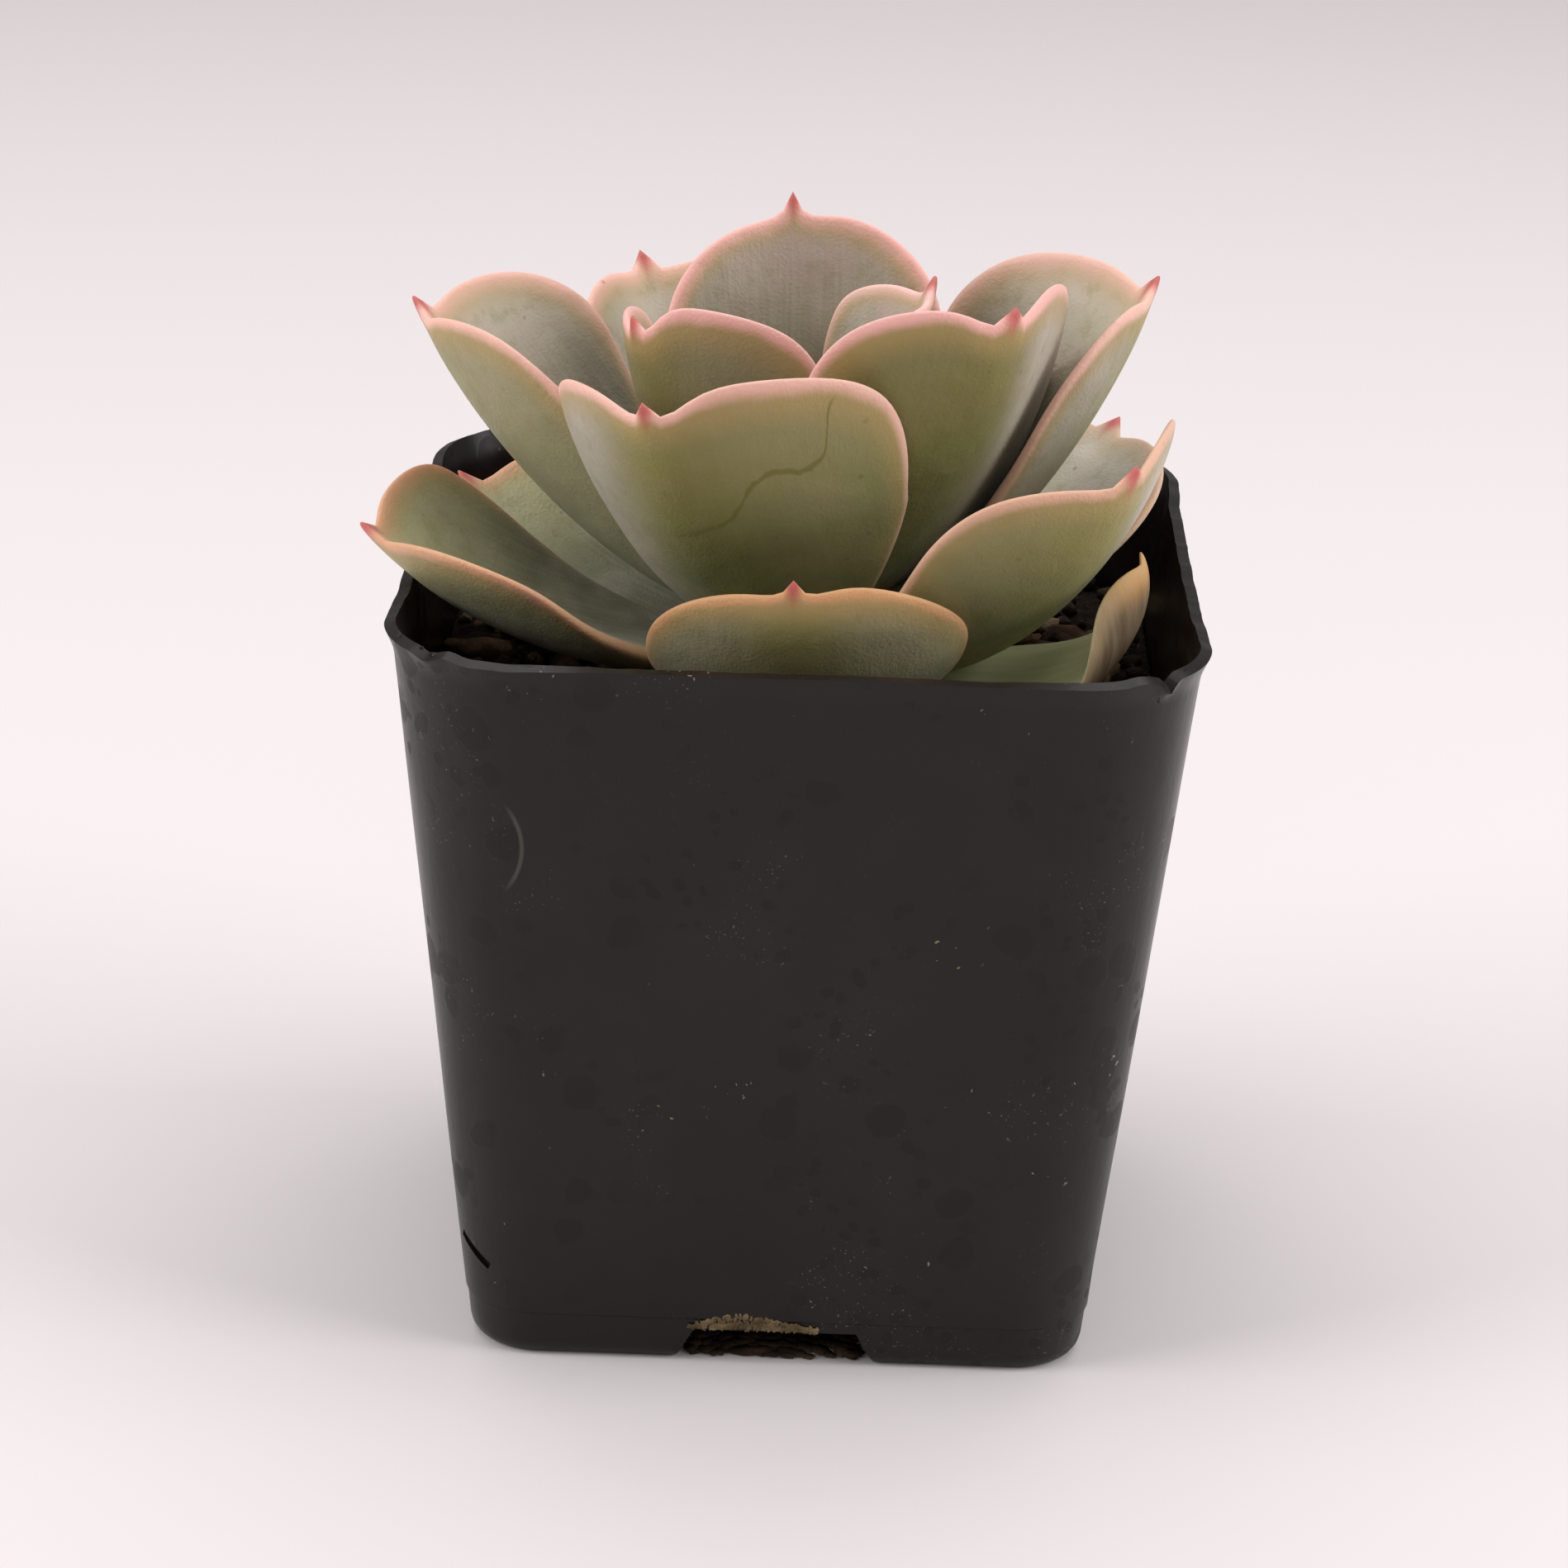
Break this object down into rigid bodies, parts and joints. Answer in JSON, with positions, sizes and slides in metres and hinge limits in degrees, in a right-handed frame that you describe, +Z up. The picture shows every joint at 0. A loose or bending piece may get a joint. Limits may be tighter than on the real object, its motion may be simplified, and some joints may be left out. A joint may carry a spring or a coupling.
{
  "type": "potted succulent",
  "caption": "Small rosette succulent with thick cupped leaves, edged in pink, growing in potting mix in a square tapering plastic nursery pot.",
  "frame": {"origin": "middle of the pot's underside, on the surface that the pot stands on", "axes": "+Z up the pot; -Y out of the pot's front wall; +X towards the right of that wall"},
  "size_m": [0.0565, 0.054, 0.0748],
  "materials": {
    "pot": "satin black moulded plastic, dusty and water-spotted",
    "potting_mix": "dark brown crumbly mix with pale mineral and bark crumbs",
    "stem": "dull bark",
    "leaf": "waxy sage green with a matt bloom and pink edges",
    "withered_leaf": "pale green drying to tan, with an orange tip"
  },
  "bodies": {
    "root": {"pot": "pot", "potting_mix": "potting_mix", "stem": "stem", "bud_leaf_front": "leaf", "bud_leaf_left": "leaf", "bud_leaf_right": "leaf", "inner_leaf_back": "leaf", "inner_leaf_front": "leaf", "inner_leaf_hidden": "leaf", "inner_leaf_right": "leaf", "middle_leaf_back": "leaf", "middle_leaf_front": "leaf", "middle_leaf_left": "leaf", "middle_leaf_right": "leaf", "low_leaf_back": "leaf", "low_leaf_back_left": "leaf", "low_leaf_back_right": "leaf", "low_leaf_front": "leaf", "low_leaf_left": "leaf", "low_leaf_right": "leaf", "withered_leaf": "withered_leaf"}
  },
  "joints": []
}
